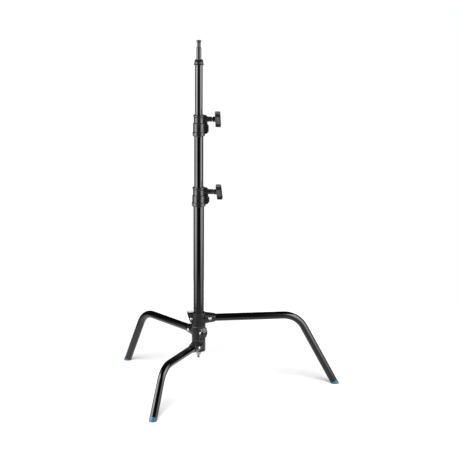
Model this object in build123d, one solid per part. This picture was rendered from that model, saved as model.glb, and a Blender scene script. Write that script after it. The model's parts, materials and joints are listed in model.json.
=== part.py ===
from build123d import *
import math
import os

# A lighting stand: three cranked legs on a stacked hub, a column and two telescopic
# risers with screw brakes, and a 16 mm spigot on top. Millimetres and degrees.
# Z is up, the floor is z = 0 and the column stands on the Z axis.

# ---------------------------------------------------------------- fits
fixed_gap = 0.05  # radial gap between two pieces that stay together
running_gap = 0.07  # radial gap of a turning or sliding fit
face_gap = 0.3  # gap between flat faces that move past each other

# ---------------------------------------------------------------- tubes
column_r = 17.5
riser_1_r = 15.0
riser_2_r = 12.5
tube_wall = 1.5

# ---------------------------------------------------------------- legs
leg_r = 12.5
leg_wall = 2.0
leg_bend_r = 80.0
leg_drop = 61.5  # slope of the outer length below the horizontal
leg_start = 24.0  # radius at which a leg begins, inside its socket
leg_reach = {"top": 336.0, "middle": 313.0, "bottom": 289.0}  # radius of the bend corner
leg_heading = {"top": 7.0, "middle": 127.0, "bottom": 247.0}  # from +X, anticlockwise
fold_angle = 120.0
foot_r = 13.1
foot_seat = 9.5  # height of the centre of a leg's square-cut end
foot_plug = 22.0

# ---------------------------------------------------------------- hub
hub_bottom = 126.5
slab = 46.5  # vertical pitch of the three castings
sleeve_r = 23.0
casting_height = 45.2
washer_thickness = 1.0
top_extra = 1.7  # the uppermost casting is this much taller
leg_level = 27.5  # leg axis above the casting's lower face
base_low = 7.0  # the base casting starts this far above the pitch's lower end
base_floor = 6.0  # thickness of the base casting's floor
socket_root_r = 20.0
socket_root = 20.0
socket_end_r = 14.9
socket_end = 55.0
leg_bolt_at = 36.0
leg_bolt_r = 3.0
leg_bolt_seat = 15.6  # distance of the spot faces from the leg's middle plane
leg_bolt_head_r = 5.3
leg_bolt_head = 3.0
leg_nut_height = 4.0
leg_boss_r = 8.0
leg_boss_face = 16.6
head_chamfer = 1.2
hub_edge = 1.0  # chamfer on a casting's lower edge
counterbore_r = 21.0  # recess on top of the hub for its washer and ring
counterbore = 4.2
wave_washer_height = 0.9
ring_groove = 0.7
ring_height = 1.8
tie_r = 5.0
tie_tip = 109.0
tie_pitch = 1.5
tie_thread_top = 118.0
nut_height = 11.0
nut_flat_r = 8.5
tie_washer_height = 1.75
plug_height = 18.0

# ---------------------------------------------------------------- lock levers
pivot_at = 25.5  # radius of the lever pin
pivot_level = 27.5
pivot_r = 2.5
lever_pin_head_r = 4.2
lever_pin_head = 1.7
cheek_inner = 6.2
cheek_outer = 13.0
pocket_floor = 20.6
pocket_low = 9.0
lever_back = 21.5
lever_front = 24.2
lever_half = 5.8
lever_pad_half = 12.4
tooth_half = 4.0
tooth_tip = 16.35
pad_levels = (47.6, 51.1)
pad_reach = (18.6, 39.0)
tooth_levels = (35.5, 39.0)
window_levels = (34.5, 42.0)
slot_levels = (34.9, 40.4)
slot_margin = 15.6  # half the slot's angle beyond the tooth's travel
spring_level = 16.5
spring_length = 5.1
spring_coil_r = 2.4
spring_wire_r = 0.35
spring_turns = 3

# ---------------------------------------------------------------- collars
lower_collar_z = 629.5
lower_collar_height = 64.0
lower_collar_heading = -12.0
upper_collar_z = 864.0
upper_collar_height = 70.0
upper_collar_heading = -6.0
collar_head = 26.5  # length of the part that wraps the inner tube
tube_end_gap = 1.0
bush_depth = 25.0  # length of the guide bush inside the outer tube
bush_flange = 1.4
boss_drop = 13.5  # screw axis below the collar's top face
boss_r = 8.3
rib_half = 7.5
rib_reach = 13.0  # how far the rib stands out under the boss
rib_belly = 4.0  # how much further its lower part stands out
foot_ring = 5.3  # how far a collar's foot ring stands out from the tube
rivet_r = 1.9
rivet_head_r = 3.4
rivet_level = 7.5
rivet_spread = 40.0  # rivets stand this far either side of the rear

# ---------------------------------------------------------------- brake and knob
shoe_r = 4.93
shoe_bore_r = 5.0
shoe_length = 12.0
shoe_rest_gap = 0.2
shoe_travel = 1.25  # one turn of the screw
screw_r = 4.0
screw_pitch = 1.25
screw_nose_r = 2.5
screw_nose = 3.6
knob_gap = 1.8
knob_hub_r = 8.8
knob_hub = 9.0
knob_bar = (17.4, 13.0, 58.0)
knob_face = (14.0, 28.0)  # the raised panel on each broad side of the bar
knob_face_rise = 0.8
knob_round = 2.4
knob_dish = 2.4
knob_roll = 30.0
knob_bore = 20.0

# ---------------------------------------------------------------- risers and top
riser_1_bottom = 358.0
riser_2_bottom = 568.0
guide_height = 20.0
guide_wall = 3.0
guide_plug = 25.0
cap_bottom = 1098.0
cap_top = 1115.5
riser_2_top = 1106.0
cap_plug_bottom = 1075.0
spigot_root_r = 9.0  # the length inside the cap
spigot_bottom = 1080.0
spigot_r = 8.0
spigot_shoulder = 1153.4
spigot_neck_r = 6.0
spigot_neck = (1155.0, 1170.6)
spigot_tip_r = 7.9
spigot_tip = 1174.2
spigot_top = 1178.0
cross_pin_r = 1.5
cross_pin_z = 1109.5
cross_pin_half = 13.6

hub_z = {"bottom": hub_bottom, "middle": hub_bottom + slab, "top": hub_bottom + 2 * slab}
base_face = hub_bottom + base_low
hub_top = hub_z["top"] + casting_height + top_extra
tube_bore_gap = tube_wall + fixed_gap
running_bore = column_r + running_gap
upward = (Align.CENTER, Align.CENTER, Align.MIN)


# ---------------------------------------------------------------- shape helpers
def rod(radius, start, end):
    """A round bar along Z from start to end."""
    return Pos(0, 0, start) * Cylinder(radius, end - start, align=upward)


def rod_x(radius, start, end, y=0.0, z=0.0):
    """A round bar along X from start to end."""
    return Pos(start, y, z) * Rot(0, 90, 0) * Cylinder(radius, end - start, align=upward)


def rod_y(radius, start, end, x=0.0, z=0.0):
    """A round bar along Y from start to end."""
    return Pos(x, start, z) * Rot(-90, 0, 0) * Cylinder(radius, end - start, align=upward)


def ring(outer, inner, start, end):
    """A plain ring on the Z axis."""
    return rod(outer, start, end) - rod(inner, start, end)


def outline(points):
    """A closed flat outline of (radius, height) points in the XZ plane."""
    return Plane.XZ * make_face(Polyline(*points, close=True))


def turned(points):
    """A solid of revolution about Z with the outline given."""
    return revolve(outline(points), Axis.Z)


def plate(points, half):
    """The outline given, thickened to both sides of the XZ plane."""
    return extrude(outline(points), half, both=True)


def ring_sector(outer, inner, start, end, first_angle, span):
    """Part of a ring, from first_angle over span degrees."""
    section = outline([(inner, start), (outer, start), (outer, end), (inner, end)])
    return Rot(0, 0, first_angle) * revolve(section, Axis.Z, span)


def tube_along(path, outer, inner):
    """A tube of constant section along a path that starts along +X."""
    section = Plane(path @ 0, z_dir=path % 0) * (Circle(outer) - Circle(inner))
    return sweep(section, path)


# ---------------------------------------------------------------- legs
def leg_end(name):
    """Radius of the centre of a leg's lower end."""
    fall = hub_z[name] + leg_level - foot_seat
    return leg_reach[name] + fall / math.tan(math.radians(leg_drop))


def leg_tube(name):
    """A leg: level out of its socket, then down through one bend to its foot."""
    level = hub_z[name] + leg_level
    corners = [(leg_start, 0, level), (leg_reach[name], 0, level), (leg_end(name), 0, foot_seat)]
    path = FilletPolyline(*corners, radius=leg_bend_r)
    leg = tube_along(path, leg_r, leg_r - leg_wall)
    return leg - rod_y(leg_bolt_r + fixed_gap, -20, 20, leg_bolt_at, level)


def leg_foot(name):
    """An end cap: a plug in the tube and a wedge below it, cut flat at the floor."""
    drop = math.radians(leg_drop)
    down = (math.cos(drop), 0, -math.sin(drop))
    seat = Plane((leg_end(name), 0, foot_seat), x_dir=(0, 1, 0), z_dir=down)
    wedge = seat * Cylinder(foot_r, 40, align=upward)
    floor_cut = Pos(leg_end(name), 0, -40) * Box(120, 80, 80)
    plug_r = leg_r - leg_wall - fixed_gap
    plug_wall = 3
    plug_end = 4
    plug = seat * Pos(0, 0, -foot_plug) * Cylinder(plug_r, foot_plug, align=upward)
    hollow = seat * Pos(0, 0, -foot_plug) * Cylinder(plug_r - plug_wall, foot_plug - plug_end, align=upward)
    return wedge - floor_cut + plug - hollow


def leg_bolt(name):
    """The shoulder bolt that holds a leg in its socket, with a low domed head."""
    far_end = -leg_bolt_seat - leg_nut_height + 0.4
    head_top = leg_bolt_seat + leg_bolt_head
    socket_r = 2.0
    points = [
        (0, far_end),
        (leg_bolt_r, far_end),
        (leg_bolt_r, leg_bolt_seat),
        (leg_bolt_head_r, leg_bolt_seat),
        (leg_bolt_head_r, head_top - head_chamfer),
        (leg_bolt_head_r - head_chamfer, head_top),
        (socket_r, head_top),
        (socket_r, head_top - leg_bolt_head / 2),
        (0, head_top - leg_bolt_head / 2),
    ]
    bolt = Rot(90, 0, 0) * turned(points)
    return Pos(leg_bolt_at, 0, hub_z[name] + leg_level) * bolt


def leg_nut(name):
    """The domed nut on the far end of a leg bolt."""
    inner = leg_bolt_r + fixed_gap
    far = leg_bolt_seat + leg_nut_height
    points = [
        (inner, leg_bolt_seat),
        (leg_bolt_head_r, leg_bolt_seat),
        (leg_bolt_head_r, far - head_chamfer),
        (leg_bolt_head_r - head_chamfer, far),
        (inner, far),
    ]
    nut = Rot(-90, 0, 0) * turned(points)
    return Pos(leg_bolt_at, 0, hub_z[name] + leg_level) * nut


# ---------------------------------------------------------------- hub castings
def socket_shell(top):
    """The tapered leg socket, clipped to the height of its casting."""
    cone = Rot(0, 90, 0) * turned(
        [
            (0, 0),
            (socket_root_r, 0),
            (socket_root_r, socket_root),
            (socket_end_r, socket_end - 1.5),
            (socket_end_r - 1.2, socket_end),
            (0, socket_end),
        ]
    )
    clip = Pos(socket_end / 2, 0, 0) * Box(socket_end + 2, 60, top, align=upward)
    return (Pos(0, 0, leg_level) * cone) & clip


def leg_casting(low, top, bore, floor):
    """A casting in its own frame, with its leg along +X and a bore that starts at floor."""
    points = [(0, low), (sleeve_r - hub_edge, low), (sleeve_r, low + hub_edge), (sleeve_r, top), (0, top)]
    body = turned(points)
    body += socket_shell(top)
    body += rod_y(leg_boss_r, -leg_boss_face, leg_boss_face, leg_bolt_at, leg_level)
    body -= rod_x(leg_r + fixed_gap, leg_start - 0.5, socket_end + 1, 0, leg_level)
    body -= rod(bore, floor, top + 1)
    body -= rod_y(leg_bolt_r + fixed_gap, -sleeve_r, sleeve_r, leg_bolt_at, leg_level)
    for start, end in ((-sleeve_r, -leg_bolt_seat), (leg_bolt_seat, sleeve_r)):
        body -= rod_y(leg_bolt_head_r + 1.0, start, end, leg_bolt_at, leg_level)
    return body


def lever_cheeks(top):
    """The two cheeks that carry a lock lever, on the side of the casting away from the leg."""
    root = 18.5
    points = [(root, 8), (25, 9.5), (31, 22.5), (31, 32.5), (28, top - 3), (root, top - 1)]
    between = outline([(root - 1, 0), (40, 0), (40, 60), (root - 1, 60)])
    cheeks = plate(points, cheek_outer) - extrude(between, cheek_inner, both=True)
    return Rot(0, 0, 180) * cheeks


def lever_cuts(top):
    """The pocket between the cheeks, the window for the tooth and the pin's hole."""
    low, high = window_levels
    inside, outside, far = 12, 24, 40
    pocket = plate(
        [(pocket_floor, pocket_low), (far, pocket_low), (far, top + 1), (pocket_floor, top + 1)], cheek_inner
    )
    window = plate([(inside, low), (outside, low), (outside, high), (inside, high)], tooth_half + 0.6)
    pin_hole = rod_y(pivot_r + fixed_gap, -sleeve_r, sleeve_r, pivot_at, pivot_level)
    return Rot(0, 0, 180) * (pocket + window + pin_hole)


def swinging_casting(name):
    """A casting that turns about the column and carries a lock lever."""
    top = casting_height + (top_extra if name == "top" else 0)
    body = leg_casting(0, top, running_bore, -1)
    body += lever_cheeks(top) - rod(sleeve_r - 3, -1, top + 1)
    body -= lever_cuts(top)
    if name == "top":
        body -= rod(counterbore_r, top - counterbore, top + 1)
    return Pos(0, 0, hub_z[name]) * body


def base_casting():
    """The lowest casting: its leg is fixed and its floor carries the column."""
    floor = base_low + base_floor
    body = leg_casting(base_low, casting_height, column_r + fixed_gap, floor)
    body -= rod(tie_r + 2 * fixed_gap, base_low - 1, floor + 1)
    return Pos(0, 0, hub_bottom) * body


def thrust_washer(name):
    """The slide washer that lies on top of a casting."""
    base = hub_z[name] + casting_height
    return ring(sleeve_r - 1.0, column_r + 0.2, base, base + washer_thickness)


def wave_washer():
    """The friction washer under the retaining ring, drawn pressed flat."""
    base = hub_top - counterbore + face_gap
    return ring(counterbore_r - 0.4, column_r + 0.2, base, base + wave_washer_height)


def retaining_ring():
    """The split ring in the column's groove that holds the castings down."""
    base = hub_top - counterbore + face_gap + wave_washer_height + 0.1
    body = ring(counterbore_r - 0.6, column_r - ring_groove + fixed_gap, base, base + ring_height)
    gap = Pos(counterbore_r - 2, 0, base + ring_height / 2) * Box(6, 3, 2 * ring_height)
    return body - Rot(0, 0, 100) * gap


# ---------------------------------------------------------------- lock levers
def lever_blade(name):
    """The flat blade of a lever, from its tail over the pivot to its top."""
    pad_top = pad_levels[1]
    tip = pad_reach[1]
    tail = [(25.8, 12.5), (27.8, 12.5), (31.5, 20.5)]
    if name == "top":
        upper = [(36, 36), (tip, 43), (tip, pad_top), (lever_front, pad_top)]
    else:
        upper = [(33.5, 30), (31.5, 36), (28, 43.5), (lever_front, 43.5)]
    back = [
        (lever_front, pivot_level + 6),
        (lever_back, pivot_level + 2.5),
        (lever_back, pivot_level - 2.5),
        (25.8, pivot_level - 6.5),
    ]
    return plate(tail + upper + back, lever_half)


def lock_lever(name):
    """A lever with its tooth; the uppermost also has a thumb pad over the hub."""
    low, high = tooth_levels
    body = lever_blade(name)
    body += plate([(tooth_tip, low), (25, low), (25, high), (tooth_tip, high)], tooth_half)
    if name == "top":
        low_pad, high_pad = pad_levels
        inner, outer = pad_reach
        corners = [(inner, low_pad), (outer, low_pad), (outer, high_pad), (inner, high_pad)]
        pad = plate(corners, lever_pad_half)
        body += fillet(pad.edges().filter_by(Axis.Z), 2.5)
    body -= rod_y(pivot_r + running_gap, -sleeve_r, sleeve_r, pivot_at, pivot_level)
    body -= rod_x(spring_coil_r + 0.9, 20, 26.6, 0, spring_level)
    return body


def lever_pin():
    """The riveted pin of a lever, with a domed head at each end."""
    top = cheek_outer + lever_pin_head
    dome_r = lever_pin_head_r - head_chamfer
    rim = top - 1.1
    points = [(0, -top), (dome_r, -top), (lever_pin_head_r, -rim), (lever_pin_head_r, -cheek_outer)]
    points += [(pivot_r, -cheek_outer), (pivot_r, cheek_outer), (lever_pin_head_r, cheek_outer)]
    points += [(lever_pin_head_r, rim), (dome_r, top), (0, top)]
    return Pos(pivot_at, 0, pivot_level) * Rot(90, 0, 0) * turned(points)


def lever_spring():
    """The small compression spring that pushes the tail of a lever outwards."""
    path = Helix(spring_length / spring_turns, spring_length, spring_coil_r)
    wire = sweep(Plane(path @ 0, z_dir=path % 0) * Circle(spring_wire_r), path, is_frenet=True)
    return Pos(pocket_floor + spring_wire_r + 0.1, 0, spring_level) * Rot(0, 90, 0) * wire


def at_lever(name, shape):
    """Moves a lever piece to the far side of its casting from the leg."""
    return Pos(0, 0, hub_z[name]) * Rot(0, 0, leg_heading[name] + 180) * shape


# ---------------------------------------------------------------- column
def index_slot(name, first, last):
    """The slot in the column that a lever's tooth travels in."""
    low, high = slot_levels
    start = leg_heading[name] + 180 + first - slot_margin
    span = last - first + 2 * slot_margin
    return ring_sector(
        column_r + 1, column_r - 3, hub_z[name] + low, hub_z[name] + high, start, span
    )


def rivet_turns(heading):
    """The two directions of a collar's rivets."""
    return [heading + 180 - rivet_spread, heading + 180 + rivet_spread]


def rivet_holes(heading, collar_z):
    """The holes for a collar's rivets."""
    hole = rod_x(rivet_r + fixed_gap, 10, 40, 0, collar_z + rivet_level)
    holes = [Rot(0, 0, turn) * hole for turn in rivet_turns(heading)]
    return holes[0] + holes[1]


def column_tube():
    """The lowest tube, from the base casting's floor into the lower collar."""
    top = lower_collar_z + lower_collar_height - collar_head - tube_end_gap
    body = ring(column_r, column_r - tube_wall, base_face + base_floor, top)
    body -= index_slot("top", -fold_angle, 0)
    body -= index_slot("middle", 0, fold_angle)
    groove = hub_top - counterbore + face_gap + wave_washer_height
    body -= ring(column_r + 1, column_r - ring_groove, groove, groove + ring_height + 0.2)
    return body - rivet_holes(lower_collar_heading, lower_collar_z)


def column_plug():
    """The threaded plug in the foot of the column."""
    base = base_face + base_floor
    return ring(column_r - tube_bore_gap, tie_r + fixed_gap, base + 0.1, base + plug_height)


def tie_stud():
    """The stud that draws the column down on the base casting, with its thread below."""
    root_r = tie_r - 0.6
    end = base_face + base_floor + plug_height - 0.5
    points = [(0, tie_tip), (tie_r - 1, tie_tip), (tie_r, tie_tip + 1)]
    ridge = tie_tip + tie_pitch
    while ridge < tie_thread_top:
        points += [(tie_r, ridge), (root_r, ridge + tie_pitch / 3), (tie_r, ridge + tie_pitch * 2 / 3)]
        ridge += tie_pitch
    return turned(points + [(tie_r, end), (0, end)])


def tie_nut():
    """The self-locking hexagon nut under the hub, with the round collar of its insert below."""
    top = base_face - fixed_gap - tie_washer_height - 0.1
    low = top - nut_height
    collar_top = low + 3.4
    corner_r = nut_flat_r + 1.3
    nut = Pos(0, 0, low) * extrude(RegularPolygon(nut_flat_r, 6, major_radius=False), nut_height)
    collar_r = nut_flat_r - 0.8
    points = [(0, low), (collar_r - 0.8, low), (collar_r, low + 0.8), (collar_r, collar_top)]
    points += [(nut_flat_r + 0.2, collar_top), (corner_r, collar_top + 1.4), (corner_r, top), (0, top)]
    return (nut & turned(points)) - rod(tie_r + fixed_gap, low - 1, top + 1)


def tie_washer():
    """The washer between nut and hub."""
    top = base_face - fixed_gap
    return ring(nut_flat_r + 1.5, tie_r + 0.3, top - tie_washer_height, top)


# ---------------------------------------------------------------- collars
def collar_body(outer_r, height):
    """The turned shape of a collar: foot ring, barrel, neck and rim."""
    neck = height - collar_head
    foot_r = outer_r + foot_ring
    barrel_r = outer_r + 3.7
    neck_r = outer_r + 1.4
    rim_r = outer_r + 3.0
    points = [(0, 0), (foot_r - 2.1, 0), (foot_r, 2.4), (foot_r, 12.6), (barrel_r, 14.4)]
    points += [(barrel_r, neck - 1.4), (barrel_r - 1.3, neck), (neck_r, neck + 0.8), (neck_r, height - 8)]
    points += [(rim_r, height - 5), (rim_r, height - 0.8), (rim_r - 0.8, height)]
    return turned(points + [(0, height)])


def collar_rib(outer_r, height):
    """The rib under the screw boss, thicker towards its foot."""
    out = outer_r + rib_reach
    belly = out + rib_belly
    under_boss = height - boss_drop + boss_r - 0.4
    points = [(outer_r, height - 0.6), (out - 6, height - 0.6), (out, under_boss), (out, height - 30)]
    points += [(belly, height - 36), (belly, 15), (out, 9.5)]
    points += [(outer_r + foot_ring + 0.2, 8), (outer_r, 8)]
    rib = plate(points, rib_half)
    return fillet(rib.edges().filter_by(Axis.Y).group_by(Axis.X)[-1], 1.5)


def collar(outer_r, inner_r, height, boss_end):
    """A collar in its own frame, lower face at z = 0 and its screw along +X."""
    axis_z = height - boss_drop
    body = collar_body(outer_r, height) + collar_rib(outer_r, height)
    boss = turned([(0, 0), (boss_r, 0), (boss_r, boss_end - 1), (boss_r - 1, boss_end), (0, boss_end)])
    body += Pos(0, 0, axis_z) * Rot(0, 90, 0) * boss
    body -= rod(outer_r + fixed_gap, -1, height - collar_head)
    body -= rod(outer_r - tube_wall, -1, height + 1)
    body -= rod(outer_r + 0.2, height - bush_flange - 0.1, height + 1)
    shoe_end = inner_r + shoe_rest_gap + shoe_length
    body -= rod_x(shoe_bore_r, 0, shoe_end + shoe_travel + 1, 0, axis_z)
    return body - rod_x(screw_r + running_gap, 0, boss_end + 1, 0, axis_z)


def collar_bush(outer_r, inner_r, height):
    """The nylon guide liner, flanged at the top and open where the shoe passes."""
    outside = outer_r - tube_bore_gap
    inside = inner_r + running_gap
    low = height - collar_head - tube_end_gap - bush_depth
    body = ring(outside, inside, low, height - face_gap)
    body += ring(outer_r + 0.1, inside, height - bush_flange, height - face_gap)
    return body - rod_x(shoe_bore_r + 0.2, 0, outer_r + 20, 0, height - boss_drop)


def collar_rivets(outer_r, heading, collar_z):
    """The two rivets that fix a collar to its tube."""
    face = outer_r + foot_ring
    seat = face + fixed_gap
    points = [(0, outer_r - 1.2), (rivet_r, outer_r - 1.2), (rivet_r, seat), (rivet_head_r, seat)]
    points += [(rivet_head_r, face + 0.7), (rivet_head_r - 1.4, face + 1.5), (0, face + 1.5)]
    rivet = Pos(0, 0, collar_z + rivet_level) * Rot(0, 90, 0) * turned(points)
    return Compound(children=[Rot(0, 0, turn) * rivet for turn in rivet_turns(heading)])


def at_collar(heading, collar_z, shape):
    """Moves a collar piece to its height and heading."""
    return Pos(0, 0, collar_z) * Rot(0, 0, heading) * shape


# ---------------------------------------------------------------- brakes and knobs
def brake_shoe(inner_r, axis_z):
    """The shoe that bears on the inner tube, with a socket for the screw's nose."""
    start = inner_r + shoe_rest_gap
    end = start + shoe_length
    body = rod_x(shoe_r, 0, end, 0, axis_z) - rod(start, axis_z - 10, axis_z + 10)
    return body - rod_x(screw_nose_r + running_gap, end - 4, end + 1, 0, axis_z)


def knob_screw(inner_r, axis_z, knob_x):
    """The clamp screw: nose, rings of thread and plain shank inside the knob."""
    shoulder = inner_r + shoe_rest_gap + shoe_length + 0.1
    root_r = screw_r - 0.5
    points = [(0, shoulder - screw_nose), (screw_nose_r, shoulder - screw_nose), (screw_nose_r, shoulder)]
    ridge = shoulder
    while ridge < knob_x - screw_pitch:
        points += [(root_r, ridge), (screw_r, ridge + 0.4 * screw_pitch)]
        points += [(screw_r, ridge + 0.6 * screw_pitch)]
        ridge += screw_pitch
    end = knob_x + knob_bore - 0.2
    points += [(root_r, ridge), (screw_r, ridge + 0.5), (screw_r, end), (0, end)]
    return Pos(0, 0, axis_z) * Rot(0, 90, 0) * turned(points)


def knob_bar_body():
    """The cross bar of a T handle, with dished ends and a raised panel on both broad sides."""
    thick, deep, long = knob_bar
    panel_thick, panel_long = knob_face
    bar = fillet(Box(thick, deep, long).edges(), knob_round)
    panel = Box(panel_thick, deep + 2 * knob_face_rise, panel_long)
    bar += fillet(panel.edges().filter_by(Axis.Y), 2.0)
    dish_long = (long - panel_long) / 2 - 7
    dish = fillet(Box(thick - 6, knob_dish, dish_long).edges().filter_by(Axis.Y), 1.5)
    for side in (-1, 1):
        for end in (-1, 1):
            bar -= Pos(0, side * deep / 2, end * (long + panel_long) / 4) * dish
    return bar


def knob_handle(axis_z, knob_x):
    """The moulded T handle on the clamp screw."""
    hub_end = knob_hub + 1
    hub = turned([(0, 0), (knob_hub_r - 1.8, 0), (knob_hub_r, 1.8), (knob_hub_r, hub_end), (0, hub_end)])
    grip = Pos(knob_hub + knob_bar[0] / 2, 0, 0) * Rot(knob_roll, 0, 0) * knob_bar_body()
    body = grip + Rot(0, 90, 0) * hub - rod_x(screw_r + fixed_gap, -1, knob_bore)
    return Pos(knob_x, 0, axis_z) * body


# ---------------------------------------------------------------- risers and top
def riser_1_tube():
    """The first riser, from its guide into the upper collar."""
    top = upper_collar_z + upper_collar_height - collar_head - tube_end_gap
    body = ring(riser_1_r, riser_1_r - tube_wall, riser_1_bottom, top)
    return body - rivet_holes(upper_collar_heading, upper_collar_z)


def riser_guide(outer_r, tube_r, bottom):
    """The nylon guide in the foot of a riser: a plug and a wider running ring."""
    run_r = outer_r - tube_wall - running_gap
    plug_r = tube_r - tube_bore_gap
    bore_r = plug_r - guide_wall
    low = bottom - guide_height
    edge = 1.0
    points = [(bore_r, low), (run_r - edge, low), (run_r, low + edge), (run_r, bottom - 0.1)]
    points += [(plug_r, bottom - 0.1), (plug_r, bottom + guide_plug), (bore_r, bottom + guide_plug)]
    return turned(points)


def riser_2_tube():
    """The second riser, from its guide into the top cap."""
    return ring(riser_2_r, riser_2_r - tube_wall, riser_2_bottom, riser_2_top)


def top_cap():
    """The stepped cap on the second riser, with a plug inside the tube."""
    foot_r, band_r, crown_r = 16.3, 15.0, 14.0
    points = [(0, cap_bottom), (foot_r, cap_bottom), (foot_r, cap_bottom + 1.6), (band_r, cap_bottom + 4)]
    points += [(band_r, cap_bottom + 6.6), (crown_r, cap_bottom + 7.2), (crown_r, cap_bottom + 8.6)]
    points += [(crown_r + 0.6, cap_bottom + 9.2), (crown_r + 0.2, cap_bottom + 12)]
    body = turned(points + [(12.4, cap_top - 0.6), (11.8, cap_top), (0, cap_top)])
    plug_r = riser_2_r - tube_bore_gap
    body += rod(plug_r, cap_plug_bottom, cap_top)
    body -= ring(riser_2_r + fixed_gap, plug_r, cap_bottom - 1, riser_2_top + 0.2)
    body -= rod(spigot_root_r + fixed_gap, cap_plug_bottom - 1, cap_top + 1)
    return body - rod_x(cross_pin_r + fixed_gap, -20, 20, 0, cross_pin_z)


def spigot():
    """The 16 mm spigot with its root, retaining neck and flared tip."""
    neck_low, neck_high = spigot_neck
    points = [(0, spigot_bottom), (spigot_root_r, spigot_bottom), (spigot_root_r, cap_top)]
    points += [(spigot_r, cap_top), (spigot_r, spigot_shoulder), (spigot_r - 0.8, spigot_shoulder + 1.2)]
    points += [(spigot_neck_r, neck_low), (spigot_neck_r, neck_high), (spigot_tip_r, spigot_tip)]
    points += [(spigot_tip_r, spigot_top - 0.6), (spigot_tip_r - 0.6, spigot_top), (0, spigot_top)]
    return turned(points) - rod_x(cross_pin_r + fixed_gap, -20, 20, 0, cross_pin_z)


def cross_pin():
    """The pin through cap and spigot."""
    return rod_x(cross_pin_r, -cross_pin_half, cross_pin_half, 0, cross_pin_z)


# ---------------------------------------------------------------- the whole stand
def hub_parts():
    """Every piece of the hub and the three legs."""
    parts = {
        "base_casting": Rot(0, 0, leg_heading["bottom"]) * base_casting(),
        "base_thrust_washer": thrust_washer("bottom"),
        "middle_thrust_washer": thrust_washer("middle"),
        "hub_wave_washer": wave_washer(),
        "hub_retaining_ring": retaining_ring(),
        "column_plug": column_plug(),
        "tie_stud": tie_stud(),
        "tie_nut": tie_nut(),
        "tie_washer": tie_washer(),
    }
    for name, heading in leg_heading.items():
        turn = Rot(0, 0, heading)
        parts[f"{name}_leg_tube"] = turn * leg_tube(name)
        parts[f"{name}_leg_foot"] = turn * leg_foot(name)
        parts[f"{name}_leg_bolt"] = turn * leg_bolt(name)
        parts[f"{name}_leg_nut"] = turn * leg_nut(name)
    for name in ("middle", "top"):
        parts[f"{name}_casting"] = Rot(0, 0, leg_heading[name]) * swinging_casting(name)
        parts[f"{name}_lock_lever"] = at_lever(name, lock_lever(name))
        parts[f"{name}_lever_pin"] = at_lever(name, lever_pin())
        parts[f"{name}_lever_spring"] = at_lever(name, lever_spring())
    return parts


def collar_parts(name, outer_r, inner_r, collar_z, height, heading, boss_end):
    """A collar with its liner, rivets, brake shoe and knob."""
    axis_z = height - boss_drop
    knob_x = boss_end + knob_gap
    holes = rivet_holes(heading, collar_z)
    shapes = {
        "collar": collar(outer_r, inner_r, height, boss_end),
        "collar_bush": collar_bush(outer_r, inner_r, height),
        "brake_shoe": brake_shoe(inner_r, axis_z),
        "knob_screw": knob_screw(inner_r, axis_z, knob_x),
        "knob_handle": knob_handle(axis_z, knob_x),
    }
    parts = {f"{name}_{key}": at_collar(heading, collar_z, shape) for key, shape in shapes.items()}
    parts[f"{name}_collar"] -= holes
    parts[f"{name}_collar_rivets"] = collar_rivets(outer_r, heading, collar_z)
    return parts


def stand_parts():
    """Every piece of the stand by its name."""
    parts = hub_parts()
    parts["column_tube"] = column_tube()
    parts |= collar_parts(
        "lower", column_r, riser_1_r, lower_collar_z, lower_collar_height, lower_collar_heading, 49.0
    )
    parts["riser_1_tube"] = riser_1_tube()
    parts["riser_1_guide"] = riser_guide(column_r, riser_1_r, riser_1_bottom)
    parts |= collar_parts(
        "upper", riser_1_r, riser_2_r, upper_collar_z, upper_collar_height, upper_collar_heading, 43.2
    )
    parts["riser_2_tube"] = riser_2_tube()
    parts["riser_2_guide"] = riser_guide(riser_1_r, riser_2_r, riser_2_bottom)
    parts["top_cap"] = top_cap()
    parts["spigot"] = spigot()
    parts["spigot_cross_pin"] = cross_pin()
    return parts


os.makedirs("parts", exist_ok=True)
for node, shape in stand_parts().items():
    export_step(shape, f"parts/{node}.step")
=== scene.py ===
import json
import math

import bmesh
import bpy
from mathutils import Matrix, Vector


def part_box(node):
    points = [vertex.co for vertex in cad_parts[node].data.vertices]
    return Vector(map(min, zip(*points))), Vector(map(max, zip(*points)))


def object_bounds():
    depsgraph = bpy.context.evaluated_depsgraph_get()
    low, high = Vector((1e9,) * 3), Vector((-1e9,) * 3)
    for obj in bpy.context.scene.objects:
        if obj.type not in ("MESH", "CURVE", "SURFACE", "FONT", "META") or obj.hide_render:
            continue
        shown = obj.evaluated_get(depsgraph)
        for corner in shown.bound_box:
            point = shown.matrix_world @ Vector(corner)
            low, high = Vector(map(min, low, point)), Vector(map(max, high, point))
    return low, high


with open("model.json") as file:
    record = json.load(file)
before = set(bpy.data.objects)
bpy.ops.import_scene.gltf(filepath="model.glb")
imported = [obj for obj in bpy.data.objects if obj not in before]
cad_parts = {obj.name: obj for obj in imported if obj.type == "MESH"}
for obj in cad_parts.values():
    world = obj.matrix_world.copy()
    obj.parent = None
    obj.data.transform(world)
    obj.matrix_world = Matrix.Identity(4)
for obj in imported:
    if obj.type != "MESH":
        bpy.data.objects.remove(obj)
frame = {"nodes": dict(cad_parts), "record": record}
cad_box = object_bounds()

# The looks of a black lighting stand: its finishes, the studio and the camera.
# Metres and degrees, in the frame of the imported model: Z up, the front towards -Y.

scene = bpy.context.scene
FLOOR = Vector(cad_box[0]).z

# ---------------------------------------------------------------- camera
CAMERA_BACK = 5.487
CAMERA_UP = 1.7487
CAMERA_PITCH = 12.301  # below the horizontal
CAMERA_YAW = 1.049  # clockwise from +Y, seen from above
CAMERA_ROLL = 0.272
CAMERA_LENS = 133.02  # this one and the next in millimetres
SENSOR = 36.0

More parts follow.
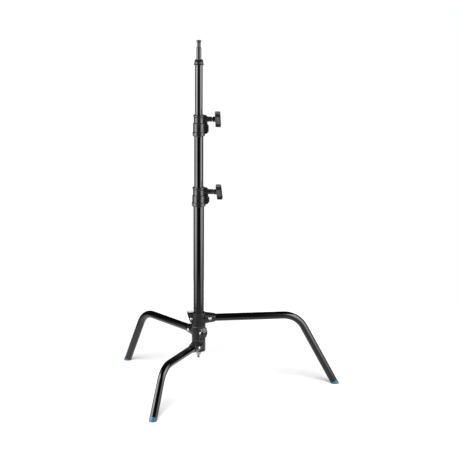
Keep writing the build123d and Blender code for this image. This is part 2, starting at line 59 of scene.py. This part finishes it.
# ---------------------------------------------------------------- knobs
# Each pair holds the distances from the screw's axis between which a face comes in or ends.
KNOB_ROLL = 30.0  # turn of the bar about its screw
KNOB_BAR = 0.0175  # thickness of the bar, along the screw
KNOB_PANEL_DEEP = (0.0066, 0.0069)  # through the bar, its raised panels come in here
KNOB_PANEL_LONG = (0.0135, 0.0142)  # along the bar, they end here
KNOB_END = (0.0272, 0.028)  # and its end faces come in here

# ---------------------------------------------------------------- worn edges
BEVEL_SAMPLES = 6
WEAR_GAIN = 6.0  # how readily an edge counts as rubbed
WEAR_PATCHES = 220.0  # patches per metre along it
WEAR_SPREAD = (0.38, 0.62)

# ---------------------------------------------------------------- floor
FLOOR_RADIUS = 1.5
FLOOR_SEGMENTS = 128
FLOOR_GAP = 0.0002  # between the floor and the feet
FLOOR_TONE = 0.6
FLOOR_MOTTLE = 0.01  # how much lighter it gets in its faint clouds
FLOOR_GLOW = 0.44  # evens the floor out, so that its shadows stay soft
FLOOR_CENTRE_GLOW = 0.85
FLOOR_CENTRE = (0.0, 0.13, 0.0)  # under the hub's shadow
FLOOR_FADE = (0.14, 0.3)  # distances from it between which its glow fades to the floor's
FLOOR_RIM_GLOW = 0.3  # added towards the rim, where the floor meets the white surroundings
FLOOR_RIM = (0.65, 1.2)  # distances from the column between which it comes in
FLOOR_DIMMED = 0.55  # share of its paleness that reflections and the stand see
FLOOR_SHEEN = 0.5  # the glow that they see instead, near the stand and in front
FLOOR_SHEEN_BEHIND = 0.8
FLOOR_SHEEN_TURN = (-0.05, 0.15)  # from the front to behind, along Y
FLOOR_SHEEN_FADE = (0.45, 0.85)  # distances from the column between which it fades out

# ---------------------------------------------------------------- soft lights
WALL_RADIUS = 1.08  # a curved soft light stands this far out on each side
WALL_HEIGHT = 1.7
WALL_GAP = 0.01  # between it and the floor
WALL_STEPS = 48
LEFT_FIRST = 25.0  # angle from the front, round the stand, at which it starts
RIGHT_FIRST = 26.0
WALL_PEAK = 62.0  # where it is strongest
WALL_FALL = 70.0  # where it begins to fade
WALL_LAST = 114.0  # and where it ends
WALL_FOOT = 0.38  # share of its strength that it has at the floor
WALL_FULL = 0.45  # height at which it reaches its usual strength
WALL_GAIN = 1.35  # how much stronger it is high up
WALL_HIGH = (0.65, 0.95)  # heights between which that comes in
WALL_END = (1.08, 1.35)  # heights between which it fades
WALL_REST = 0.04  # and the share of it that is left above them
LEFT_POWER = 8.3
RIGHT_POWER = 6.8
OVERHEAD_POWER = 940.0
OVERHEAD_SIZE = 3.6
OVERHEAD_PLACE = (0.0, -4.4, 6.5)  # in front, so that shadows fall behind the legs

# ---------------------------------------------------------------- surroundings
# Each pair holds parts of a direction of length 1: Y for the backdrop, Z for the others.
EYE_POWER = 1.0  # what the camera sees; the rest is what reflections see
ROOM_POWER = 0.012
BACKDROP_POWER = 0.1
BACKDROP_RIM = (0.78, 0.95)
HORIZON = (-0.02, 0.15)
BELOW_HORIZON = 0.08  # share of the room's light
CEILING = (0.3, 0.65)
ABOVE_CEILING = 0.02


# ---------------------------------------------------------------- node helpers
def add(tree, kind, inputs=None, **settings):
    """Adds a node, with its settings and with values or links on its inputs."""
    made = tree.nodes.new("ShaderNode" + kind)
    for key, value in settings.items():
        setattr(made, key, value)
    for socket, value in (inputs or {}).items():
        if isinstance(value, bpy.types.NodeSocket):
            tree.links.new(value, made.inputs[socket])
        else:
            made.inputs[socket].default_value = value
    return made


def maths(tree, operation, first, second=0.0, clamp=False):
    """One arithmetic step."""
    inputs = {0: first, 1: second}
    return add(tree, "Math", inputs, operation=operation, use_clamp=clamp).outputs[0]


def product(tree, first, *others):
    """Values multiplied together."""
    for other in others:
        first = maths(tree, "MULTIPLY", first, other)
    return first


def plus(tree, base, share, extra):
    """The base with a share of something added."""
    return maths(tree, "ADD", base, product(tree, extra, share))


def ramp(tree, value, low, high, start=0.0, end=1.0):
    """Maps value from low..high to start..end with a smooth ease."""
    inputs = {"Value": value, "From Min": low, "From Max": high, "To Min": start, "To Max": end}
    return add(tree, "MapRange", inputs, interpolation_type="SMOOTHSTEP").outputs["Result"]


def blend_value(tree, factor, first, second):
    """A value between first and second."""
    inputs = {0: factor, 2: first, 3: second}
    return add(tree, "Mix", inputs, data_type="FLOAT").outputs[0]


def blend_colour(tree, factor, first, second):
    """A colour between first and second."""
    inputs = {0: factor}
    for index, colour in ((6, first), (7, second)):
        linked = isinstance(colour, bpy.types.NodeSocket)
        inputs[index] = colour if linked else (*colour, 1.0)
    return add(tree, "Mix", inputs, data_type="RGBA").outputs[2]


def mottled(tree, clouds, first, second, low=0.3):
    """Two colours in soft patches."""
    return blend_colour(tree, ramp(tree, clouds, low, 0.7), first, second)


def laid_over(tree, mask, share, under, over):
    """A colour with a share of another one over it where the mask is 1."""
    return blend_colour(tree, product(tree, mask, share), under, over)


def part_of(tree, place, axis):
    """The X, Y or Z of a place."""
    return add(tree, "SeparateXYZ", {0: place}).outputs[axis]


def dot(tree, first, second):
    """The dot product of two directions."""
    inputs = {0: first, 1: second}
    return add(tree, "VectorMath", inputs, operation="DOT_PRODUCT").outputs["Value"]


def stretched(tree, place, factors):
    """The coordinates scaled by a factor for each axis."""
    return add(tree, "VectorMath", {0: place, 1: factors}, operation="MULTIPLY").outputs[0]


def noise(tree, place, scale, detail=4.0, rough=0.55):
    """Cloudy noise, from 0 to 1, with scale in features per metre."""
    inputs = {"Vector": place, "Scale": scale, "Detail": detail, "Roughness": rough}
    return add(tree, "TexNoise", inputs).outputs["Fac"]


def rounded(tree, radius):
    """The direction that the surface faces, with its edges rounded."""
    return add(tree, "Bevel", {"Radius": radius}, samples=BEVEL_SAMPLES).outputs["Normal"]


def edges(tree, radius, place):
    """1 along edges where a finish rubs off, broken up by noise, and 0 elsewhere."""
    flat = add(tree, "NewGeometry").outputs["Normal"]
    turned = maths(tree, "SUBTRACT", 1.0, dot(tree, rounded(tree, radius), flat))
    wear_and_top_highlight = maths(tree, "MULTIPLY", turned, WEAR_GAIN, clamp=True)
    return product(tree, wear_and_top_highlight, ramp(tree, noise(tree, place, WEAR_PATCHES), *WEAR_SPREAD))


def new_material(name, **settings):
    """A node material with a Principled shader, its tree, and object coordinates."""
    material = bpy.data.materials.new(name)
    material.use_nodes = True
    tree = material.node_tree
    tree.nodes.clear()
    shader = add(tree, "BsdfPrincipled")
    add(tree, "OutputMaterial", {0: shader.outputs[0]})
    for socket, value in settings.items():
        shader.inputs[socket.replace("_", " ")].default_value = value
    place = add(tree, "TexCoord").outputs["Object"]
    return material, tree, shader, place


def connect(tree, shader, colour, roughness, bump_height, bump_depth, edge_radius=0.0006):
    """Feeds a shader its colour and roughness, and a bump over slightly rounded edges."""
    tree.links.new(colour, shader.inputs["Base Color"])
    tree.links.new(roughness, shader.inputs["Roughness"])
    inputs = {"Strength": 1.0, "Distance": bump_depth, "Height": bump_height}
    inputs["Normal"] = rounded(tree, edge_radius)
    tree.links.new(add(tree, "Bump", inputs).outputs[0], shader.inputs["Normal"])


# ---------------------------------------------------------------- finishes
def gloss_black_tube():
    """Glossy black over drawn steel tube, with faint draw lines and handling marks."""
    settings = {"IOR": 1.5, "Specular_IOR_Level": 0.5}
    material, tree, shader, place = new_material("gloss_black_tube", **settings)
    clean, handled = (0.0005, 0.0005, 0.0006), (0.0013, 0.0013, 0.0014)
    dust, bare = (0.012, 0.012, 0.0125), (0.16, 0.155, 0.15)
    draw_lines = noise(tree, stretched(tree, place, (1.0, 1.0, 0.02)), 900.0, 3.0)
    smudges = noise(tree, place, 9.0, 5.0, 0.6)
    ripples = noise(tree, place, 160.0)
    specks = ramp(tree, noise(tree, place, 1400.0, 2.0), 0.66, 0.78)
    worn = edges(tree, 0.0012, place)
    tone = mottled(tree, smudges, clean, handled, low=0.35)
    tone = laid_over(tree, specks, 0.2, tone, dust)
    tone = laid_over(tree, worn, 0.5, tone, bare)
    roughness = plus(tree, ramp(tree, smudges, 0.3, 0.75, 0.07, 0.12), 0.03, draw_lines)
    roughness = plus(tree, roughness, 0.1, worn)
    connect(tree, shader, tone, roughness, plus(tree, draw_lines, 1.5, ripples), 0.000006)
    return material


def black_casting(name="black_casting", smoothest=0.14, roughest=0.22):
    """Satin black powder coat over a cast alloy, with its fine pebbled skin."""
    settings = {"IOR": 1.5, "Specular_IOR_Level": 0.4}
    material, tree, shader, place = new_material(name, **settings)
    dark, light = (0.0025, 0.0025, 0.0027), (0.006, 0.006, 0.0062)
    pebble_tops, bare = (0.011, 0.011, 0.0113), (0.17, 0.17, 0.168)
    pebbles = noise(tree, place, 1100.0, 3.0, 0.6)
    sand = noise(tree, place, 300.0, 5.0, 0.65)
    worn = edges(tree, 0.0014, place)
    tone = mottled(tree, noise(tree, place, 35.0), dark, light)
    tone = blend_colour(tree, ramp(tree, pebbles, 0.35, 0.75, 0.0, 0.5), tone, pebble_tops)
    tone = laid_over(tree, worn, 0.35, tone, bare)
    roughness = plus(tree, ramp(tree, sand, 0.25, 0.75, smoothest, roughest), -0.08, worn)
    connect(tree, shader, tone, roughness, plus(tree, pebbles, 1.4, sand), 0.00003, 0.0011)
    return material


def black_lever(name="black_lever", wear_and_top_highlight=0.0):
    """Smooth black paint on a pressed lever, with worn edges; its second argument paints a
    highlight onto its upward faces.
    """
    settings = {"IOR": 1.52, "Specular_IOR_Level": 0.35}
    material, tree, shader, place = new_material(name, **settings)
    dark, light = (0.003, 0.003, 0.0032), (0.007, 0.007, 0.0073)
    # a light grey for the painted highlight on top, and bare metal for the worn edges
    highlight_grey, bare = (0.5, 0.5, 0.5), (0.3, 0.29, 0.28)
    smudges = noise(tree, place, 60.0, 5.0)
    grain = noise(tree, place, 700.0, 3.0)
    on_top = ramp(tree, part_of(tree, add(tree, "TexCoord").outputs["Normal"], "Z"), 0.85, 0.97)
    # painted highlight: light grey laid over the faces that point up, stronger in patches
    painted_top_highlight = product(tree, on_top, ramp(tree, smudges, 0.2, 0.6, 0.7 * wear_and_top_highlight, wear_and_top_highlight))
    tone = blend_colour(tree, painted_top_highlight, mottled(tree, smudges, dark, light), highlight_grey)
    tone = laid_over(tree, edges(tree, 0.0012, place), 0.35, tone, bare)
    roughness = ramp(tree, smudges, 0.25, 0.75, 0.2, 0.32)
    connect(tree, shader, tone, roughness, grain, 0.00003, 0.0009)
    return material


def black_spigot():
    """Blackened turned steel, with rings from the lathe and bare streaks from clamps."""
    settings = {"IOR": 1.5, "Specular_IOR_Level": 0.45}
    material, tree, shader, place = new_material("black_spigot", **settings)
    dark, light = (0.003, 0.003, 0.0032), (0.008, 0.008, 0.0084)
    scraped, bare = (0.07, 0.068, 0.066), (0.24, 0.235, 0.23)
    turning = noise(tree, stretched(tree, place, (0.05, 0.05, 1.0)), 2600.0, 2.0)
    clouds = noise(tree, place, 120.0)
    streaks = noise(tree, stretched(tree, place, (1.0, 1.0, 0.12)), 420.0)
    tone = mottled(tree, clouds, dark, light)
    tone = blend_colour(tree, ramp(tree, streaks, 0.62, 0.78, 0.0, 0.15), tone, scraped)
    tone = laid_over(tree, edges(tree, 0.0012, place), 0.6, tone, bare)
    roughness = ramp(tree, clouds, 0.25, 0.75, 0.1, 0.16)
    connect(tree, shader, tone, roughness, turning, 0.00002, 0.0007)
    return material


def knob_faces(tree, place, node_name, joint):
    """1 on the raised panels and the end faces of a knob's bar, and 0 elsewhere."""
    along = Vector(joint["axis"])
    centre = Vector(joint["pos_m"])
    level = Vector((-along.y, along.x, 0.0))
    roll = math.radians(KNOB_ROLL)
    through = level * math.cos(roll) + Vector((0.0, 0.0, math.sin(roll)))
    lengthwise = Vector((0.0, 0.0, math.cos(roll))) - level * math.sin(roll)
    inputs = {0: place, 1: centre}
    inward = add(tree, "VectorMath", inputs, operation="SUBTRACT").outputs[0]
    deep, long = (maths(tree, "ABSOLUTE", dot(tree, inward, way)) for way in (through, lengthwise))
    far_end = max(along.dot(Vector(corner) - centre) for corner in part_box(node_name))
    on_bar = maths(tree, "GREATER_THAN", dot(tree, inward, along), far_end - KNOB_BAR)
    panel = ramp(tree, deep, *KNOB_PANEL_DEEP)
    panel = product(tree, panel, ramp(tree, long, *KNOB_PANEL_LONG, 1.0, 0.0), on_bar)
    return maths(tree, "MAXIMUM", panel, ramp(tree, long, *KNOB_END))


def knob_plastic(node_name, joint_name):
    """Moulded black plastic, with grained grey panels and ends and polished edges."""
    joints = frame["record"]["behaviour"]["joints"]
    joint = next(one for one in joints if one["name"] == joint_name)
    settings = {"IOR": 1.49, "Specular_IOR_Level": 0.25}
    material, tree, shader, place = new_material(node_name, **settings)
    dark, light = (0.0015, 0.0015, 0.0016), (0.004, 0.004, 0.0042)
    matte, matte_light = (0.04, 0.04, 0.0404), (0.06, 0.06, 0.0605)
    bare = (0.12, 0.12, 0.12)
    grain = noise(tree, place, 1700.0, 3.0, 0.6)
    grey = knob_faces(tree, place, node_name, joint)
    worn = edges(tree, 0.0016, place)
    matte = blend_colour(tree, ramp(tree, grain, 0.3, 0.75), matte, matte_light)
    tone = mottled(tree, noise(tree, place, 70.0), dark, light)
    tone = laid_over(tree, worn, 0.3, blend_colour(tree, grey, tone, matte), bare)
    roughness = plus(tree, ramp(tree, grain, 0.25, 0.75, 0.26, 0.36), 0.2, grey)
    roughness = plus(tree, roughness, -0.1, worn)
    connect(tree, shader, tone, roughness, grain, 0.00006, 0.001)
    return material


def blue_foot():
    """Satin blue moulded plastic, scuffed and a little dusty near the floor."""
    settings = {"IOR": 1.49, "Specular_IOR_Level": 0.5}
    material, tree, shader, place = new_material("blue_foot", **settings)
    dark, light = (0.016, 0.054, 0.088), (0.023, 0.069, 0.11)
    dusty, bare = (0.1, 0.13, 0.15), (0.07, 0.13, 0.18)
    grain = noise(tree, place, 900.0)
    scratches = noise(tree, stretched(tree, place, (1.0, 1.0, 0.3)), 380.0)
    low_down = ramp(tree, part_of(tree, place, "Z"), 0.001, 0.012, 1.0, 0.0)
    scuffs = product(tree, ramp(tree, scratches, 0.55, 0.75), low_down)
    tone = mottled(tree, noise(tree, place, 60.0), dark, light)
    tone = laid_over(tree, scuffs, 0.5, tone, dusty)
    tone = laid_over(tree, edges(tree, 0.0012, place), 0.4, tone, bare)
    roughness = plus(tree, ramp(tree, grain, 0.3, 0.7, 0.36, 0.46), 0.2, scuffs)
    connect(tree, shader, tone, roughness, grain, 0.00004, 0.0009)
    return material


def nylon():
    """Dark self-coloured nylon, a little waxy."""
    settings = {"IOR": 1.53, "Subsurface_Weight": 0.05, "Subsurface_Scale": 0.002}
    material, tree, shader, place = new_material("nylon", **settings)
    dark, light = (0.045, 0.045, 0.046), (0.075, 0.075, 0.076)
    grain = noise(tree, place, 1300.0, 3.0)
    tone = mottled(tree, noise(tree, place, 90.0), dark, light)
    roughness = ramp(tree, grain, 0.3, 0.7, 0.42, 0.55)
    connect(tree, shader, tone, roughness, grain, 0.00004)
    return material


def brass_shoe():
    """Turned brass, dulled in patches."""
    material, tree, shader, place = new_material("brass_shoe", Metallic=1.0)
    clean, dull = (0.72, 0.5, 0.2), (0.42, 0.28, 0.12)
    patches = noise(tree, place, 140.0, 5.0)
    turning = noise(tree, stretched(tree, place, (1.0, 0.1, 0.1)), 2200.0, 2.0)
    tone = mottled(tree, patches, clean, dull, low=0.35)
    roughness = ramp(tree, patches, 0.3, 0.7, 0.2, 0.42)
    connect(tree, shader, tone, roughness, turning, 0.00002)
    return material


def zinc_steel(name="zinc_steel", painted_light_share=1.0):
    """Bright zinc plate with a soft spangle and worn edges; its second argument below 1 gives a
    darker copy, which is painted shade.
    """
    material, tree, shader, place = new_material(name, Metallic=1.0)
    # below 1, the second argument darkens both tones: painted shade
    clean, dull = (Vector(shade) * painted_light_share for shade in ((0.8, 0.8, 0.82), (0.62, 0.63, 0.66)))
    wear_and_top_highlight = (0.88, 0.88, 0.88)
    cells = add(tree, "TexVoronoi", {"Vector": place, "Scale": 520.0}).outputs["Color"]
    spangle = add(tree, "SeparateColor", {0: cells}).outputs[0]
    grain = noise(tree, place, 1500.0, 3.0)
    tone = mottled(tree, noise(tree, place, 180.0), clean, dull)
    tone = blend_colour(tree, edges(tree, 0.0008, place), tone, wear_and_top_highlight)
    roughness = ramp(tree, spangle, 0.0, 1.0, 0.24, 0.36)
    connect(tree, shader, tone, roughness, grain, 0.00002, 0.0005)
    return material


def dark_spring_steel():
    """Oiled black spring steel, worn grey on its edges."""
    material, tree, shader, place = new_material("dark_spring_steel", Metallic=1.0)
    dark, light, bare = (0.07, 0.07, 0.075), (0.13, 0.13, 0.135), (0.4, 0.4, 0.4)
    clouds = noise(tree, place, 150.0, 5.0)
    grain = noise(tree, place, 1800.0, 3.0)
    tone = mottled(tree, clouds, dark, light)
    tone = laid_over(tree, edges(tree, 0.0005, place), 0.7, tone, bare)
    roughness = ramp(tree, clouds, 0.3, 0.7, 0.28, 0.42)
    connect(tree, shader, tone, roughness, grain, 0.00002, 0.0004)
    return material


def paint_nodes():
    """Gives every CAD node the finish of its material slot, or one of its own."""
    makers = (
        gloss_black_tube, black_casting, black_lever, black_spigot, blue_foot, nylon,
        brass_shoe, zinc_steel, dark_spring_steel,
    )
    finishes = {maker.__name__: maker() for maker in makers}
    special = {
        # the tie stud and its nut get darker copies of the zinc: painted shade
        "tie_stud": zinc_steel("shaded_zinc_steel", painted_light_share=0.35),
        "tie_nut": zinc_steel("shaded_tie_nut_steel", painted_light_share=0.6),
        "top_cap": black_casting("polished_casting", smoothest=0.05, roughest=0.09),
        # the top lever gets a painted highlight on its upward faces
        "top_lock_lever": black_lever("top_lit_lever", wear_and_top_highlight=1.0),
    }
    for level in ("lower", "upper"):
        handle = f"{level}_knob_handle"
        special[handle] = knob_plastic(handle, f"{level}_knob_turn")
    for subpart in frame["record"]["subparts"]:
        name = subpart["node"]
        mesh = frame["nodes"][name].data
        mesh.materials.clear()
        mesh.materials.append(special.get(name) or finishes[subpart["material_slot"]])


# ---------------------------------------------------------------- studio
def floor_glow(tree, place, seen):
    """The floor's own light: one for the camera, another for reflections."""
    inputs = {0: place, 1: FLOOR_CENTRE}
    away = add(tree, "VectorMath", inputs, operation="DISTANCE").outputs["Value"]
    around = add(tree, "VectorMath", {0: place}, operation="LENGTH").outputs["Value"]
    rim = ramp(tree, around, *FLOOR_RIM, 0.0, FLOOR_RIM_GLOW)
    glow = maths(tree, "ADD", ramp(tree, away, *FLOOR_FADE, FLOOR_CENTRE_GLOW, FLOOR_GLOW), rim)
    depth = part_of(tree, place, "Y")
    sheen = ramp(tree, depth, *FLOOR_SHEEN_TURN, FLOOR_SHEEN, FLOOR_SHEEN_BEHIND)
    sheen = product(tree, sheen, ramp(tree, around, *FLOOR_SHEEN_FADE, 1.0, 0.0))
    return blend_value(tree, seen, sheen, glow)


def floor():
    """A plain pale floor, large enough for the shadows."""
    mesh = bpy.data.meshes.new("studio_floor")
    shape = bmesh.new()
    bmesh.ops.create_circle(shape, cap_ends=True, segments=FLOOR_SEGMENTS, radius=FLOOR_RADIUS)
    shape.to_mesh(mesh)
    shape.free()
    plane = bpy.data.objects.new("studio_floor", mesh)
    plane.location.z = FLOOR - FLOOR_GAP
    scene.collection.objects.link(plane)
    material, tree, shader, place = new_material("studio_floor", Specular_IOR_Level=0.2)
    pale, paler = ((tone,) * 3 for tone in (FLOOR_TONE, FLOOR_TONE + FLOOR_MOTTLE))
    clouds = noise(tree, place, 4.0)
    seen = add(tree, "LightPath").outputs["Is Camera Ray"]
    share = ramp(tree, seen, 0.0, 1.0, FLOOR_DIMMED, 1.0)
    tone = blend_colour(tree, share, (0.0, 0.0, 0.0), blend_colour(tree, clouds, pale, paler))
    connect(tree, shader, tone, ramp(tree, clouds, 0.3, 0.7, 0.7, 0.8), clouds, 0.00002)
    shader.inputs["Emission Color"].default_value = (1.0, 1.0, 1.0, 1.0)
    tree.links.new(floor_glow(tree, place, seen), shader.inputs["Emission Strength"])
    mesh.materials.append(material)
    return plane


def kept_from_walls(plane):
    """A collection that keeps the light of the soft walls off the floor."""
    shaded = bpy.data.collections.new("shaded")
    shaded.objects.link(plane)
    shaded.collection_objects[0].light_linking.link_state = "EXCLUDE"
    return shaded


def curved_sheet(name, side, first):
    """An upright sheet on one side of the stand, curved round it."""
    mesh = bpy.data.meshes.new(name)
    shape = bmesh.new()
    rows = []
    for step in range(WALL_STEPS + 1):
        turn = math.radians(first + (WALL_LAST - first) * step / WALL_STEPS)
        x, y = side * WALL_RADIUS * math.sin(turn), -WALL_RADIUS * math.cos(turn)
        heights = (FLOOR + WALL_GAP, FLOOR + WALL_HEIGHT)
        rows.append([shape.verts.new((x, y, z)) for z in heights])
    for (foot, top), (next_foot, next_top) in zip(rows, rows[1:]):
        shape.faces.new((foot, next_foot, next_top, top))
    shape.to_mesh(mesh)
    shape.free()
    return mesh


def wall_strength(tree, side, first, power):
    """How strongly a soft wall shines, by its angle from the front and its height."""
    place = add(tree, "TexCoord").outputs["Object"]
    height = part_of(tree, place, "Z")
    sideways = product(tree, part_of(tree, place, "X"), side)
    forwards = product(tree, part_of(tree, place, "Y"), -1.0)
    turn = maths(tree, "ARCTAN2", sideways, forwards)
    angles = (first, WALL_PEAK, WALL_FALL, WALL_LAST)
    start, peak, fall, last = (math.radians(angle) for angle in angles)
    low, high = (FLOOR + limit for limit in WALL_HIGH)
    fading, faded = (FLOOR + limit for limit in WALL_END)
    return product(
        tree,
        ramp(tree, turn, start, peak),
        ramp(tree, turn, fall, last, 1.0, 0.0),
        ramp(tree, height, fading, faded, 1.0, WALL_REST),
        ramp(tree, height, FLOOR, FLOOR + WALL_FULL, WALL_FOOT * power, power),
        ramp(tree, height, low, high, 1.0, WALL_GAIN),
    )


def soft_wall(name, side, first, power, shaded):
    """A curved, upright soft light on one side, which lights all but the shaded collection."""
    mesh = curved_sheet(name, side, first)
    wall = bpy.data.objects.new(name, mesh)
    wall.visible_camera = False
    wall.visible_shadow = False
    wall.light_linking.receiver_collection = shaded
    scene.collection.objects.link(wall)
    material = bpy.data.materials.new(name)
    material.use_nodes = True
    tree = material.node_tree
    tree.nodes.clear()
    strength = wall_strength(tree, side, first, power)
    glow = add(tree, "Emission", {"Color": (1.0, 1.0, 1.0, 1.0), "Strength": strength})
    add(tree, "OutputMaterial", {0: glow.outputs[0]})
    mesh.materials.append(material)


def overhead_light():
    """A wide soft light high in front, kept out of reflections, that whitens the floor."""
    lamp = bpy.data.lights.new("overhead", "AREA")
    lamp.shape = "DISK"
    lamp.size = OVERHEAD_SIZE
    lamp.energy = OVERHEAD_POWER
    holder = bpy.data.objects.new("overhead", lamp)
    holder.location = OVERHEAD_PLACE
    holder.rotation_euler = Vector(OVERHEAD_PLACE).to_track_quat("Z", "Y").to_euler()
    holder.visible_glossy = False
    scene.collection.objects.link(holder)


def surroundings():
    """White to the camera; to reflections, a faint backdrop behind the stand in a dark room."""
    world = bpy.data.worlds.new("studio")
    scene.world = world
    world.use_nodes = True
    tree = world.node_tree
    tree.nodes.clear()
    heading = add(tree, "TexCoord").outputs["Generated"]
    upward = part_of(tree, heading, "Z")
    room = product(
        tree,
        ramp(tree, part_of(tree, heading, "Y"), *BACKDROP_RIM, ROOM_POWER, BACKDROP_POWER),
        ramp(tree, upward, *HORIZON, BELOW_HORIZON, 1.0),
        ramp(tree, upward, *CEILING, 1.0, ABOVE_CEILING),
    )
    seen = add(tree, "LightPath").outputs["Is Camera Ray"]
    strength = blend_value(tree, seen, room, EYE_POWER)
    background = add(tree, "Background", {"Color": (1.0, 1.0, 1.0, 1.0), "Strength": strength})
    add(tree, "OutputWorld", {0: background.outputs[0]})


def camera():
    """The camera, in front of the stand and above it, tipped down to it."""
    data = bpy.data.cameras.new("camera")
    data.lens = CAMERA_LENS
    data.sensor_width = SENSOR
    holder = bpy.data.objects.new("camera", data)
    turn = Matrix.Rotation(math.radians(-CAMERA_YAW), 4, "Z")
    tip = Matrix.Rotation(math.radians(90 - CAMERA_PITCH), 4, "X")
    roll = Matrix.Rotation(math.radians(CAMERA_ROLL), 4, "Z")
    place = Matrix.Translation((0.0, -CAMERA_BACK, CAMERA_UP))
    holder.matrix_world = place @ turn @ tip @ roll
    scene.collection.objects.link(holder)
    scene.camera = holder


scene.view_settings.view_transform = "Standard"
camera()
surroundings()
shaded = kept_from_walls(floor())
soft_wall("soft_light_left", -1, LEFT_FIRST, LEFT_POWER, shaded)
soft_wall("soft_light_right", 1, RIGHT_FIRST, RIGHT_POWER, shaded)
overhead_light()
paint_nodes()
